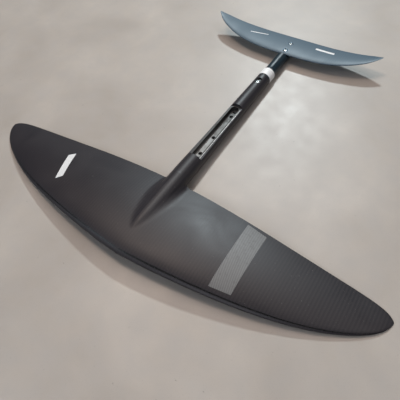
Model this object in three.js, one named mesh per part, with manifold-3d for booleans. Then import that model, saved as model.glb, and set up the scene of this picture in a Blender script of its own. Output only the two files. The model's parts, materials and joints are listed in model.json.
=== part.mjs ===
// Hydrofoil front wing moulded in one with its fuselage, and the tail tube with its stabilizer.
// Foil frame, in millimetres: X to starboard, Y aft along the fuselage axis, Z up,
// origin on the axis at the front wing's root trailing edge.
import * as THREE from 'three';
import { mergeVertices } from 'three/addons/utils/BufferGeometryUtils.js';
import Module from 'manifold-3d';

const wasm = await Module();
wasm.setup();

// ---- driving dimensions ----
const WING_HALF_SPAN = 392;
const WING_ROOT_CHORD = 163.5;
const WING_FULLNESS = 1.509;     // power of the span fraction in the chord law
const WING_TIP_ROUNDING = 0.51;  // power of the whole chord law, 0.5 for an elliptic tip
const WING_SWEEP = [[2, -34.3], [4, 14.4], [14, -10.4]]; // trailing edge: span power, offset aft
const WING_TIP_CUT = 7;          // taken off the trailing edge at the very tip
const WING_TIP_DROP = 17.1;
const WING_ARCH = 2.17;          // power in the drop law, above 1 where the tips level out
const WING_INCIDENCE = THREE.MathUtils.degToRad(1.95);
const WING_HEIGHT = -3.3;        // root trailing edge above the fuselage axis
const WING_THICKNESS = 0.13;     // of the chord
const WING_CAMBER = 0.02;        // of the chord
const WING_HOLLOW = { front: 0.03, back: 0.93, span: 0.9 }; // parts of the chord and half span
const SPAR_FRONT_Y = -118;
const SPAR_BACK_Y = -94;
const SPAR_HALF_SPAN = 255;

const NOSE_TIP_Y = -145;
const NOSE_BACK_Y = -75;
const FUSELAGE_RADII = [[-75, 18.2], [20, 18.1], [60, 17.3], [120, 16.1], [210, 15.4], [313, 14.2]];
const FUSELAGE_BACK_Y = 313;
const FUSELAGE_HOLLOW_BACK_Y = 230;

const SKIN = 1.5;
const GAP = 0.3;                 // between pieces that touch
const FAR = 60;                  // cuts that go right through reach this far off the axis

const SEAT_Z = 9.3;              // flat land that the mast's shoulder rests on
const SEAT_FRONT_Y = 56;
const SEAT_BACK_Y = 206;
const POCKET_FRONT_Y = 59;
const POCKET_BACK_Y = 203;
const POCKET_HALF_WIDTH = 8.3;
const POCKET_FLOOR_Z = 1.5;
const TRAY_WALL = 1.3;
const TRAY_FLOOR = 2;
const TRAY_FLANGE = 0.6;
const TRAY_FLANGE_HALF_WIDTH = 11.4;
const TRAY_CORNER = 4;
const MAST_SCREW_Y = [74, 119, 183, 197];
const MAST_SCREW_BORE = 3.3;
const SLEEVE_RADIUS = 4.6;
const SLEEVE_FOOT_RADIUS = 6.6;
const SLEEVE_FOOT_Z = -10.5;
const SLEEVE_BOTTOM_Z = -13.6;

const TAIL_TUBE_RADIUS = 12.4;
const TAIL_TUBE_BORE = 8;
const SPIGOT_RADIUS = 10.6;
const SPIGOT_FRONT_Y = 243;
const COLLAR_RADIUS = 13.7;
const COLLAR_BACK_Y = 338;
const TAIL_BACK_Y = 462;
const TAIL_SLEEVE_FRONT_Y = 238;
const LABEL_THICKNESS = 0.3;
const LOCK_SCREW_Y = 286;
const LOCK_RECESS_Z = 10.7;
const LOCK_RECESS_RADIUS = 5.2;
const LOCK_RECESS_LENGTH = 8;    // from the screw to the middle of the recess's rear end

const STAB_HALF_SPAN = 193.3;
const STAB_FRONT_Y = 399.6;
const STAB_ROOT_CHORD = 66.5;
const STAB_SWEEP = 49.2;
const STAB_SWEEP_POWER = 2.94;
const STAB_BACK_SWEEP = -5.7;
const STAB_TIP_START = 0.8;      // part of the half span where the tip starts to round off
const STAB_TIP_RISE = 18.8;
const STAB_RISE_POWER = 3.2;
const STAB_THICKNESS = 0.1;      // of the chord
const STAB_SKIN = 1.1;
const STAB_HOLLOW = { front: 0.08, back: 0.86, span: 0.85 }; // parts of the chord and half span
const STAB_SEAT_Z = 2.5;
const SHIM_THICKNESS = 1.2;
const STAB_SCREW_Y = [411, 437];
const STAB_BUSH_RADIUS = 5.6;
const STAB_BUSH_STEP = 3.2;      // below the stabilizer's top, where the washer sits

const SCREW_RADIUS = 2.4;
const SCREW_HEAD_RADIUS = 4.3;
const SCREW_SOCKET_RADIUS = 1.6;
const WASHER_RADIUS = 4.6;
const WASHER_THICKNESS = 0.8;
const THREAD_BORE = 2.7;
const INSERT_RADIUS = 3.7;

// ---- solids ----
/** A closed three.js geometry as a manifold solid. */
function solidOf(geometry) {
  const bare = geometry.clone();
  bare.deleteAttribute('normal');
  bare.deleteAttribute('uv');
  const merged = mergeVertices(bare, 1e-4);
  const corners = merged.index.array;
  const triangles = [];
  for (let i = 0; i < corners.length; i += 3) {
    const [a, b, c] = [corners[i], corners[i + 1], corners[i + 2]];
    if (a !== b && b !== c && c !== a) triangles.push(a, b, c);
  }
  return new wasm.Manifold(new wasm.Mesh({
    numProp: 3,
    vertProperties: new Float32Array(merged.attributes.position.array),
    triVerts: new Uint32Array(triangles),
  }));
}

function geometryOf(solid) {
  const mesh = solid.getMesh();
  const geometry = new THREE.BufferGeometry();
  geometry.setAttribute('position', new THREE.BufferAttribute(mesh.vertProperties, 3));
  geometry.setIndex(new THREE.BufferAttribute(mesh.triVerts, 1));
  geometry.computeVertexNormals();
  return geometry;
}

/** Closed body through rings of equal point counts, each end closed by a fan about its middle. */
function loft(rings) {
  const count = rings[0].length;
  const points = rings.flat();
  const faces = [];
  for (let r = 0; r + 1 < rings.length; r += 1) {
    for (let i = 0; i < count; i += 1) {
      const a = r * count + i;
      const b = r * count + (i + 1) % count;
      faces.push(a, b, a + count, b, b + count, a + count);
    }
  }
  for (const [ring, outward] of [[0, false], [rings.length - 1, true]]) {
    const middle = new THREE.Vector3();
    rings[ring].forEach((point) => middle.addScaledVector(point, 1 / count));
    points.push(middle);
    for (let i = 0; i < count; i += 1) {
      const a = ring * count + i;
      const b = ring * count + (i + 1) % count;
      if (outward) faces.push(a, b, points.length - 1);
      else faces.push(b, a, points.length - 1);
    }
  }
  const geometry = new THREE.BufferGeometry().setFromPoints(points);
  geometry.setIndex(faces);
  return solidOf(geometry);
}

/** Body turned about the fuselage axis from [y, radius] pairs. */
function turned(pairs, segments = 24) {
  return solidOf(new THREE.LatheGeometry(pairs.map(([y, r]) => new THREE.Vector2(r, y)), segments));
}

/** Plain ring about the fuselage axis. */
function ring(frontY, backY, inner, outer) {
  return turned([[frontY, inner], [frontY, outer], [backY, outer], [backY, inner], [frontY, inner]]);
}

/** Upright cylinder, or a cone where the radii differ, between two heights. */
function post(y, bottomZ, topZ, bottomRadius, topRadius = bottomRadius, segments = 12) {
  const geometry = new THREE.CylinderGeometry(topRadius, bottomRadius, topZ - bottomZ, segments);
  geometry.rotateX(Math.PI / 2);
  geometry.translate(0, y, (bottomZ + topZ) / 2);
  return solidOf(geometry);
}

function slab(halfWidth, frontY, backY, bottomZ, topZ) {
  const geometry = new THREE.BoxGeometry(2 * halfWidth, backY - frontY, topZ - bottomZ);
  geometry.translate(0, (frontY + backY) / 2, (bottomZ + topZ) / 2);
  return solidOf(geometry);
}

/** Prism over a plan that is square in front and has its two rear corners cut off. */
function cutCornerPrism(halfWidth, frontY, backY, cut, bottomZ, topZ) {
  const plan = new THREE.Shape([
    new THREE.Vector2(-halfWidth, frontY),
    new THREE.Vector2(halfWidth, frontY),
    new THREE.Vector2(halfWidth, backY - cut),
    new THREE.Vector2(halfWidth - cut, backY),
    new THREE.Vector2(-halfWidth + cut, backY),
    new THREE.Vector2(-halfWidth, backY - cut),
  ]);
  const geometry = new THREE.ExtrudeGeometry(plan, { depth: topZ - bottomZ, bevelEnabled: false });
  geometry.translate(0, 0, bottomZ);
  return solidOf(geometry);
}

// ---- wing sections ----
/** Half the thickness of the section, as a part of the chord, at a chord fraction (NACA). */
function halfThickness(fraction, ratio) {
  const curve = 0.2969 * Math.sqrt(fraction) - 0.126 * fraction - 0.3516 * fraction ** 2
    + 0.2843 * fraction ** 3 - 0.1015 * fraction ** 4;
  return 5 * ratio * curve;
}

/**
 * Ring of points round a section between two chord fractions, from the rear upper point
 * over the nose to the rear lower one, inside the outer surface by inset.
 */
function sectionRing(station, place, from, to, inset, steps) {
  const points = [];
  const crowding = 1.7;            // brings the points closer together towards the nose
  const thinnest = inset > 0 ? 0.15 : 0;
  for (const side of [1, -1]) {
    for (let i = 0; i <= steps; i += 1) {
      if (side < 0 && i === 0 && from === 0) continue;
      const along = side > 0 ? 1 - i / steps : i / steps;
      const fraction = from + (to - from) * along ** crowding;
      const outer = station.chord * halfThickness(fraction, station.ratio) + station.edge * fraction;
      const middle = 4 * station.camber * station.chord * fraction * (1 - fraction);
      points.push(place(station, fraction, middle + side * Math.max(outer - inset, thinnest)));
    }
  }
  return points;
}

function spanFractions(limit, steps) {
  const end = Math.asin(limit);
  return Array.from({ length: steps + 1 }, (_, i) => Math.sin(end * (2 * i / steps - 1)));
}

// ---- front wing ----
/** How far the wing lies below its root at a fraction of the half span. */
function wingDrop(eta) {
  const inboard = Math.max(1 - eta ** 2, 0);
  return WING_TIP_DROP * (1 - inboard ** WING_ARCH);
}

function wingStation(eta) {
  const e = Math.abs(eta);
  const sweep = WING_SWEEP.reduce((sum, [power, offset]) => sum + offset * e ** power, 0);
  const tipCut = WING_TIP_CUT * e ** 60;
  return {
    x: eta * WING_HALF_SPAN,
    chord: WING_ROOT_CHORD * (1 - e ** WING_FULLNESS) ** WING_TIP_ROUNDING - tipCut,
    backY: sweep - tipCut,
    z: -wingDrop(eta),
    ratio: WING_THICKNESS,
    camber: WING_CAMBER,
    edge: 0.35,
  };
}

/** Point of the wing set at its incidence about the root trailing edge. */
function wingPoint(station, fraction, height) {
  const point = new THREE.Vector3(
    station.x,
    station.backY - station.chord * (1 - fraction),
    station.z + height,
  );
  point.applyAxisAngle(new THREE.Vector3(1, 0, 0), -WING_INCIDENCE);
  point.z += WING_HEIGHT;
  return point;
}

function wingBody(limit, spanSteps, from, to, inset, steps) {
  const rings = spanFractions(limit, spanSteps)
    .map((eta) => sectionRing(wingStation(eta), wingPoint, from, to, inset, steps));
  return loft(rings);
}

function wingOutside() {
  return wingBody(0.996, 28, 0, 1, 0, 9);
}

/** Hollow of the moulded wing, or with a gap what fills it. */
function wingHollow(gap) {
  const { front, back, span } = WING_HOLLOW;
  const trim = gap / 100;
  return wingBody(span - gap / WING_HALF_SPAN, 14, front + trim, back - trim, SKIN + gap, 5);
}

/** Everything above the surface on which the two moulded halves meet, with a lift. */
function aboveParting(lift) {
  const columns = [-1.05, -0.9, -0.7, -0.5, -0.25, 0, 0.25, 0.5, 0.7, 0.9, 1.05];
  const rows = [-200, -8, 0, 60, 340];
  const top = 80;
  const rings = columns.map((eta) => {
    const drop = wingDrop(eta);
    const slope = Math.sin(WING_INCIDENCE);
    const heights = rows.map((y) => {
      const wing = WING_HEIGHT - slope * Math.min(y, 0) - drop;
      const blend = THREE.MathUtils.clamp(y / 60, 0, 1);
      return wing * (1 - blend) + lift;
    });
    const x = eta * WING_HALF_SPAN;
    const lower = rows.map((y, i) => new THREE.Vector3(x, y, heights[i]));
    return [...lower, new THREE.Vector3(x, 340, top), new THREE.Vector3(x, -200, top)];
  });
  return loft(rings);
}

// ---- fuselage ----
function fuselageProfile(inset) {
  const pairs = [];
  const noseLength = NOSE_BACK_Y - NOSE_TIP_Y;
  const noseRadius = FUSELAGE_RADII[0][1];
  const noseSteps = 7;
  for (let i = 0; i < noseSteps; i += 1) {
    const angle = (Math.PI / 2) * (i / noseSteps);
    const y = NOSE_BACK_Y - (noseLength - inset) * Math.cos(angle);
    pairs.push([y, (noseRadius - inset) * Math.sin(angle)]);
  }
  const side = new THREE.SplineCurve(FUSELAGE_RADII.map(([y, r]) => new THREE.Vector2(y, r)));
  side.getPoints(9).forEach((point) => pairs.push([point.x, point.y - inset]));
  return pairs;
}

function fuselageBody(inset, backY) {
  const pairs = fuselageProfile(inset).filter(([y]) => y < backY - 2);
  const last = FUSELAGE_RADII.at(-1)[1] - inset;
  const rounding = inset === 0 ? 1.2 : 0;
  pairs.push([backY - rounding, last], [backY, last - rounding], [backY, 0]);
  return turned(pairs);
}

function cylinder(frontY, backY, radius) {
  return turned([[frontY, 0], [frontY, radius], [backY, radius], [backY, 0]]);
}

/** The tube's bore for the sleeve round the tail's spigot, open behind. */
function rearBore() {
  const inner = FUSELAGE_RADII.at(-1)[1] - SKIN;
  return cylinder(TAIL_SLEEVE_FRONT_Y - 2, FUSELAGE_BACK_Y + 5, inner);
}

function seatCut() {
  return cutCornerPrism(20, SEAT_FRONT_Y, SEAT_BACK_Y, 11, SEAT_Z, FAR);
}

function trayOutside(grow) {
  const spread = TRAY_WALL + grow;
  return cutCornerPrism(POCKET_HALF_WIDTH + spread, POCKET_FRONT_Y - spread,
    POCKET_BACK_Y + spread, TRAY_CORNER, POCKET_FLOOR_Z - TRAY_FLOOR - grow, FAR);
}

function mastScrewBores(radius) {
  return MAST_SCREW_Y.map((y) => post(y, -FAR, FAR, radius));
}

/** Holes for the four flanged sleeves, let in from below. */
function sleeveRecesses() {
  return MAST_SCREW_Y.map((y) => {
    const shaft = post(y, -FAR, POCKET_FLOOR_Z, SLEEVE_RADIUS + GAP);
    return shaft.add(post(y, -FAR, SLEEVE_FOOT_Z + GAP, SLEEVE_FOOT_RADIUS + GAP));
  });
}

function lockScrewRecess() {
  const backY = LOCK_SCREW_Y + LOCK_RECESS_LENGTH;
  return slab(LOCK_RECESS_RADIUS, LOCK_SCREW_Y, backY, LOCK_RECESS_Z, FAR)
    .add(post(backY, LOCK_RECESS_Z, FAR, LOCK_RECESS_RADIUS))
    .add(post(LOCK_SCREW_Y, LOCK_RECESS_Z, FAR, LOCK_RECESS_RADIUS))
    .add(post(LOCK_SCREW_Y, 0, FAR, SCREW_RADIUS + GAP));
}

/** The two moulded carbon halves of the wing and fuselage. */
function shells() {
  let shell = wingOutside().add(fuselageBody(0, FUSELAGE_BACK_Y));
  shell = shell.subtract(wingHollow(0).add(fuselageBody(SKIN, FUSELAGE_HOLLOW_BACK_Y)));
  const cuts = [rearBore(), seatCut(), trayOutside(GAP), lockScrewRecess(), ...sleeveRecesses()];
  for (const cut of cuts) shell = shell.subtract(cut);
  return {
    upper: shell.intersect(aboveParting(GAP / 2)),
    lower: shell.subtract(aboveParting(-GAP / 2)),
  };
}

// ---- inside the wing ----
/** The slot across the wing that the spar fills. */
function sparSlot(gap) {
  return slab(SPAR_HALF_SPAN + gap, SPAR_FRONT_Y - gap, SPAR_BACK_Y + gap, -FAR, FAR);
}

/** Foam on one side of the wing, round the spar's end. */
function foamCore(side) {
  const half = new THREE.BoxGeometry(WING_HALF_SPAN, 3 * WING_ROOT_CHORD, 2 * FAR);
  half.translate(side * (WING_HALF_SPAN / 2 + GAP), 0, 0);
  return wingHollow(GAP).intersect(solidOf(half)).subtract(sparSlot(GAP))
    .subtract(fuselageBody(SKIN, FUSELAGE_HOLLOW_BACK_Y));
}

/** Solid laminate from the fairing's nose to the rear of the mast socket. */
function fuselageCore() {
  let core = fuselageBody(SKIN + GAP, FUSELAGE_HOLLOW_BACK_Y - 1);
  const sparTunnel = wingHollow(0).intersect(sparSlot(GAP));
  const cuts = [sparTunnel, seatCut(), trayOutside(GAP), ...sleeveRecesses()];
  for (const cut of cuts) core = core.subtract(cut);
  return core;
}

// ---- mast socket ----
function mastTray() {
  const flangeZ = SEAT_Z + GAP;
  const flangeTop = flangeZ + TRAY_FLANGE;
  const above = slab(FAR, SEAT_FRONT_Y, SEAT_BACK_Y, flangeTop, 2 * FAR);
  const flange = cutCornerPrism(TRAY_FLANGE_HALF_WIDTH, SEAT_FRONT_Y + GAP, SEAT_BACK_Y - 0.5, 7,
    flangeZ, flangeTop);
  const hollow = cutCornerPrism(POCKET_HALF_WIDTH, POCKET_FRONT_Y, POCKET_BACK_Y, TRAY_CORNER,
    POCKET_FLOOR_Z, FAR);
  let tray = trayOutside(0).subtract(above).add(flange).subtract(hollow);
  for (const bore of mastScrewBores(MAST_SCREW_BORE)) tray = tray.subtract(bore);
  return tray;
}

/** Sleeve for one mast screw, with a countersunk foot let into the underside. */
function mastSleeve(y) {
  const topZ = POCKET_FLOOR_Z - TRAY_FLOOR - GAP;
  return post(y, SLEEVE_FOOT_Z - 1, topZ, SLEEVE_RADIUS)
    .add(post(y, SLEEVE_BOTTOM_Z, SLEEVE_FOOT_Z, SLEEVE_FOOT_RADIUS))
    .subtract(post(y, -FAR, FAR, MAST_SCREW_BORE))
    .subtract(post(y, SLEEVE_BOTTOM_Z - 1, SLEEVE_FOOT_Z, SLEEVE_FOOT_RADIUS, SCREW_RADIUS));
}

// ---- tail ----
function stabSeatCut(z) {
  return slab(30, STAB_FRONT_Y - 3, TAIL_BACK_Y + 20, z, FAR);
}

function tailTube() {
  const outside = turned([
    [SPIGOT_FRONT_Y, 0], [SPIGOT_FRONT_Y, SPIGOT_RADIUS - 1], [SPIGOT_FRONT_Y + 1, SPIGOT_RADIUS],
    [FUSELAGE_BACK_Y + GAP, SPIGOT_RADIUS], [FUSELAGE_BACK_Y + GAP, COLLAR_RADIUS],
    [COLLAR_BACK_Y, COLLAR_RADIUS], [COLLAR_BACK_Y + 1.5, TAIL_TUBE_RADIUS],
    [TAIL_BACK_Y, TAIL_TUBE_RADIUS], [TAIL_BACK_Y, 0],
  ]);
  const bore = cylinder(SPIGOT_FRONT_Y - 1, TAIL_BACK_Y + 1, TAIL_TUBE_BORE);
  const tube = outside.subtract(bore).subtract(stabSeatCut(STAB_SEAT_Z));
  return tube.subtract(post(LOCK_SCREW_Y, 0, FAR, SCREW_RADIUS + GAP));
}

function tailSleeve() {
  const outer = FUSELAGE_RADII.at(-1)[1] - SKIN - GAP;
  const inner = SPIGOT_RADIUS + GAP;
  return ring(TAIL_SLEEVE_FRONT_Y, FUSELAGE_BACK_Y - 1, inner, outer).subtract(lockScrewRecess());
}

/** Plug in the spigot that the lock screw threads into. */
function spigotPlug() {
  return cylinder(SPIGOT_FRONT_Y + 1, FUSELAGE_BACK_Y + 15, TAIL_TUBE_BORE - GAP)
    .subtract(post(LOCK_SCREW_Y, -5, FAR, INSERT_RADIUS + GAP));
}

/** Block in the tail tube's end, under the stabilizer. */
function tailBlock() {
  let block = cylinder(STAB_FRONT_Y - 8, TAIL_BACK_Y - 1, TAIL_TUBE_BORE - GAP)
    .subtract(stabSeatCut(STAB_SEAT_Z - 0.1));
  for (const y of STAB_SCREW_Y) block = block.subtract(post(y, -6, FAR, INSERT_RADIUS + GAP));
  return block;
}

/** Insert that a screw turns in, with a plain bore in place of its thread. */
function threadInsert(y, bottomZ, topZ) {
  return post(y, bottomZ, topZ, INSERT_RADIUS).subtract(post(y, -FAR, FAR, THREAD_BORE));
}

function labelBand() {
  const inner = COLLAR_RADIUS + GAP;
  return ring(FUSELAGE_BACK_Y + 2, COLLAR_BACK_Y - 2.5, inner, inner + LABEL_THICKNESS);
}

// ---- stabilizer ----
function stabStation(eta) {
  const e = Math.abs(eta);
  const frontY = STAB_FRONT_Y + STAB_SWEEP * e ** STAB_SWEEP_POWER;
  const straightBackY = STAB_FRONT_Y + STAB_ROOT_CHORD + STAB_BACK_SWEEP * e ** 2;
  const towardTip = THREE.MathUtils.clamp((e - STAB_TIP_START) / (1 - STAB_TIP_START), 0, 1);
  const chord = (straightBackY - frontY) * Math.sqrt(1 - towardTip ** 2);
  return {
    x: eta * STAB_HALF_SPAN,
    chord,
    backY: frontY + chord,
    z: STAB_TIP_RISE * e ** STAB_RISE_POWER,
    ratio: STAB_THICKNESS,
    camber: 0,
    edge: 0.3,
  };
}

const stabHalfThickness = STAB_ROOT_CHORD * STAB_THICKNESS / 2;
const stabMiddleZ = STAB_SEAT_Z + SHIM_THICKNESS + 2 * GAP + stabHalfThickness;
const stabTopZ = stabMiddleZ + stabHalfThickness - 0.3;
const stabWasherZ = stabTopZ - STAB_BUSH_STEP + GAP;

function stabPoint(station, fraction, height) {
  return new THREE.Vector3(
    station.x,
    station.backY - station.chord * (1 - fraction),
    stabMiddleZ + station.z + height,
  );
}

function stabBody(limit, spanSteps, from, to, inset, steps) {
  const rings = spanFractions(limit, spanSteps)
    .map((eta) => sectionRing(stabStation(eta), stabPoint, from, to, inset, steps));
  return loft(rings);
}

/** Hollow of the moulded stabilizer, or with a gap what fills it. */
function stabHollow(gap) {
  const { front, back, span } = STAB_HOLLOW;
  const trim = gap / 60;
  return stabBody(span - gap / STAB_HALF_SPAN, 10, front + trim, back - trim, STAB_SKIN + gap, 4);
}

/** Everything above the stabilizer's middle surface, with a lift. */
function aboveStabMiddle(lift) {
  const beyondTip = 1.05;
  const frontY = STAB_FRONT_Y - 20;
  const backY = STAB_FRONT_Y + STAB_ROOT_CHORD + 20;
  const rings = spanFractions(0.999, 14).map((part) => {
    const eta = beyondTip * part;
    const x = eta * STAB_HALF_SPAN;
    const low = stabMiddleZ + STAB_TIP_RISE * Math.abs(eta) ** STAB_RISE_POWER + lift;
    return [[frontY, low], [backY, low], [backY, low + FAR], [frontY, low + FAR]]
      .map(([y, z]) => new THREE.Vector3(x, y, z));
  });
  return loft(rings);
}

/** Bores for the two screws, right through the stabilizer and shim. */
function stabBores(radius) {
  return STAB_SCREW_Y.map((y) => post(y, 0, FAR, radius));
}

function stabilizer() {
  let shell = stabBody(0.995, 20, 0, 1, 0, 7);
  shell = shell.subtract(stabHollow(0));
  let core = stabHollow(GAP);
  for (const bore of stabBores(STAB_BUSH_RADIUS + GAP)) {
    shell = shell.subtract(bore);
    core = core.subtract(bore);
  }
  return {
    upper: shell.intersect(aboveStabMiddle(GAP / 2)),
    lower: shell.subtract(aboveStabMiddle(-GAP / 2)),
    core,
  };
}

/** Bush through the stabilizer with a step for the screw's washer. */
function stabBush(y) {
  return post(y, stabMiddleZ - stabHalfThickness, stabTopZ, STAB_BUSH_RADIUS)
    .subtract(post(y, 0, FAR, SCREW_RADIUS + GAP))
    .subtract(post(y, stabTopZ - STAB_BUSH_STEP, FAR, WASHER_RADIUS + GAP));
}

// ---- screws ----
/** Washer resting at a height. */
function washer(y, z) {
  return post(y, z, z + WASHER_THICKNESS, WASHER_RADIUS)
    .subtract(post(y, -FAR, FAR, SCREW_RADIUS + 0.2));
}

/** Pan-head screw with a hexagon socket, its head just above a washer that rests at a height. */
function screw(y, washerZ, length) {
  const headZ = washerZ + WASHER_THICKNESS + 0.1;
  const shoulderZ = headZ + 1.5;
  const crownZ = headZ + 2.2;
  return post(y, headZ - length, headZ + 0.2, SCREW_RADIUS)
    .add(post(y, headZ, shoulderZ, SCREW_HEAD_RADIUS))
    .add(post(y, shoulderZ - 0.01, crownZ, SCREW_HEAD_RADIUS, SCREW_HEAD_RADIUS - 0.8))
    .subtract(post(y, headZ + 0.6, FAR, SCREW_SOCKET_RADIUS, SCREW_SOCKET_RADIUS, 6));
}

// ---- assembly ----
const carbonSkin = new THREE.MeshStandardMaterial({ color: 0x2b2a2c, roughness: 0.45, metalness: 0 });
const carbonTube = new THREE.MeshStandardMaterial({ color: 0x1b1f24, roughness: 0.4, metalness: 0 });
const stabSkin = new THREE.MeshStandardMaterial({ color: 0x414b55, roughness: 0.5, metalness: 0 });
const laminate = new THREE.MeshStandardMaterial({ color: 0x333338, roughness: 0.7, metalness: 0 });
const foam = new THREE.MeshStandardMaterial({ color: 0xd9cfa8, roughness: 0.95, metalness: 0 });
const aluminium = new THREE.MeshStandardMaterial({ color: 0x9a9b9d, roughness: 0.4, metalness: 1 });
const steel = new THREE.MeshStandardMaterial({ color: 0xb9babc, roughness: 0.3, metalness: 1 });
const plastic = new THREE.MeshStandardMaterial({ color: 0x222426, roughness: 0.6, metalness: 0 });
const tape = new THREE.MeshStandardMaterial({ color: 0xf2f2f0, roughness: 0.6, metalness: 0 });

const foil = new THREE.Group();

function addPart(name, solid, material) {
  const mesh = new THREE.Mesh(geometryOf(solid), material);
  mesh.name = name;
  foil.add(mesh);
}

function addFrontWing() {
  const { upper, lower } = shells();
  addPart('upper_shell', upper, carbonSkin);
  addPart('lower_shell', lower, carbonSkin);
  addPart('wing_spar', wingHollow(GAP).intersect(sparSlot(0)), laminate);
  addPart('wing_foam_port', foamCore(-1), foam);
  addPart('wing_foam_starboard', foamCore(1), foam);
  addPart('fuselage_core', fuselageCore(), laminate);
}

function addMastSocket() {
  addPart('mast_tray', mastTray(), aluminium);
  MAST_SCREW_Y.forEach((y, i) => addPart(`mast_screw_sleeve_${i + 1}`, mastSleeve(y), steel));
}

function addTail() {
  addPart('tail_sleeve', tailSleeve(), laminate);
  addPart('tail_tube', tailTube(), carbonTube);
  addPart('spigot_plug', spigotPlug(), aluminium);
  addPart('tail_block', tailBlock(), aluminium);
  addPart('label_band', labelBand(), tape);
  addPart('lock_thread_insert', threadInsert(LOCK_SCREW_Y, -4.5, 6.5), steel);
  addPart('lock_washer', washer(LOCK_SCREW_Y, LOCK_RECESS_Z + GAP), steel);
  addPart('lock_screw', screw(LOCK_SCREW_Y, LOCK_RECESS_Z + GAP, 13), steel);
}

function addStabilizer() {
  const { upper, lower, core } = stabilizer();
  addPart('stab_upper_skin', upper, stabSkin);
  addPart('stab_lower_skin', lower, stabSkin);
  addPart('stab_core', core, laminate);
  const shimZ = STAB_SEAT_Z + GAP;
  let shim = slab(9.5, STAB_FRONT_Y + 3, TAIL_BACK_Y - 1, shimZ, shimZ + SHIM_THICKNESS);
  for (const bore of stabBores(SCREW_RADIUS + GAP)) shim = shim.subtract(bore);
  addPart('stab_shim', shim, plastic);
  STAB_SCREW_Y.forEach((y, i) => {
    const place = ['front', 'rear'][i];
    addPart(`stab_bush_${place}`, stabBush(y), steel);
    addPart(`stab_thread_insert_${place}`, threadInsert(y, -5.5, STAB_SEAT_Z - 0.3), steel);
    addPart(`stab_washer_${place}`, washer(y, stabWasherZ), steel);
    addPart(`stab_screw_${place}`, screw(y, stabWasherZ, 12), steel);
  });
}

/** Lowest point of the foil among the vertices before or behind a section. */
function lowestPoint(isChosen) {
  const low = new THREE.Vector3(0, 0, Infinity);
  const point = new THREE.Vector3();
  foil.traverse((object) => {
    if (!object.isMesh) return;
    const positions = object.geometry.attributes.position;
    for (let i = 0; i < positions.count; i += 1) {
      point.fromBufferAttribute(positions, i);
      if (isChosen(point) && point.z < low.z) low.copy(point);
    }
  });
  return low;
}

/** Lay the foil on its two wing tips and the tail tube's end, centred over the origin. */
function standOnFloor() {
  const tip = lowestPoint((point) => Math.abs(point.x) > 0.9 * WING_HALF_SPAN);
  const tail = lowestPoint((point) => point.y > TAIL_BACK_Y - 1);
  foil.rotation.x = -Math.atan2(tail.z - tip.z, tail.y - tip.y);
  const stand = new THREE.Group();
  stand.add(foil);
  const box = new THREE.Box3().setFromObject(stand, true);
  foil.position.set(0, -(box.min.y + box.max.y) / 2, -box.min.z);
  return stand;
}

addFrontWing();
addMastSocket();
addTail();
addStabilizer();

export default standOnFloor();
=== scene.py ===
"""Hydrofoil front wing with its fuselage, mast socket, tail tube and stabilizer, on a studio floor.

The foil's own frame is in millimetres: X to starboard, Y aft along the fuselage axis, Z up, with the
origin on the axis at the front wing's root trailing edge. Every piece is shaped in that frame and
turned into metres in the row frame as its mesh is made.
"""
import json
import math

import bmesh
import bpy
from mathutils import Matrix, Vector


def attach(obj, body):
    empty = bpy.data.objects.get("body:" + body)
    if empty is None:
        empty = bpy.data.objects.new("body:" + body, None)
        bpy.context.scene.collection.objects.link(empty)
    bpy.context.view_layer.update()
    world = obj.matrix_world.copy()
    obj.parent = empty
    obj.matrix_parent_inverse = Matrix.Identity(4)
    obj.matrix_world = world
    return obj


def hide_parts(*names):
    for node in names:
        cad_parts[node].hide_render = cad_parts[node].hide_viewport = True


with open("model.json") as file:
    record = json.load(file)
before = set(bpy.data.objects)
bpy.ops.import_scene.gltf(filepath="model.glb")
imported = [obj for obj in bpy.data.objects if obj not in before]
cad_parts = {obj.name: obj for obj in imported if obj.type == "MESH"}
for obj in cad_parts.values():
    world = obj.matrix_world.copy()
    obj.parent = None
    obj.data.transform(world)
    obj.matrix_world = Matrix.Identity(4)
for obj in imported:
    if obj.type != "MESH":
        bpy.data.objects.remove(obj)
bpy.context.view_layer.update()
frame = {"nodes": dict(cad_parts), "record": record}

MILLIMETRE = 0.001

# ---- driving dimensions, millimetres in the foil frame ----
GAP = 0.3  # between neighbouring parts
FAR = 60.0  # beyond every surface that a cutter has to reach

WING_HALF_SPAN = 392.0
WING_ROOT_CHORD = 163.5
WING_LEAST_CHORD = 0.4
WING_FULLNESS = 1.509  # power of the span fraction in the chord law
WING_TIP_ROUNDING = 0.51  # power of the whole chord law
WING_SWEEP = {2: -34.3, 4: 14.4, 14: -10.4}  # trailing edge: span power, offset aft
WING_TIP_CUT = 7.0
WING_TIP_CUT_POWER = 60
WING_TIP_DROP = 17.1
WING_ARCH = 2.17
WING_INCIDENCE = math.radians(1.95)
WING_HEIGHT = -3.3  # root trailing edge above the fuselage axis
WING_THICKNESS = 0.13
WING_CAMBER = 0.02
WING_EDGE = 0.35  # half the thickness of the trailing edge
WING_TIP = 0.9984  # span fraction where the tip closes
EDGE_SHARE = 0.125  # most that half a trailing edge takes of the chord

NOSE_TIP_Y = -145.0
NOSE_BACK_Y = -75.0
FUSELAGE_RADII = [(-75, 18.2), (20, 18.1), (60, 17.3), (120, 16.1), (210, 15.4), (313, 14.2)]
FUSELAGE_BACK_Y = 313.0
FUSELAGE_ROUNDING = 1.2
REFLECTION_LINE_FRACTIONS = (0.030, 0.044)  # chord fractions of the painted dark reflection line along the leading edge
REFLECTION_LINE_START_X = 3.0
REFLECTION_LINE_END_X = 382.0
REFLECTION_LINE_LIFT = 0.05
REFLECTION_LINE_DEPTH = 0.4
PLAN_FILLET = 8.0  # between the trailing edge and the fuselage, seen from above
ROOT_REACH_GROWTH = 16.0  # of the root's band of points, towards the nose
ROOT_REACH_POWER = 0.4
ROOT_FILLET_GROWTH = 24.0  # how much rounder the root's fillet is further forward
ROOT_FILLET_LENGTH = 50.0

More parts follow.
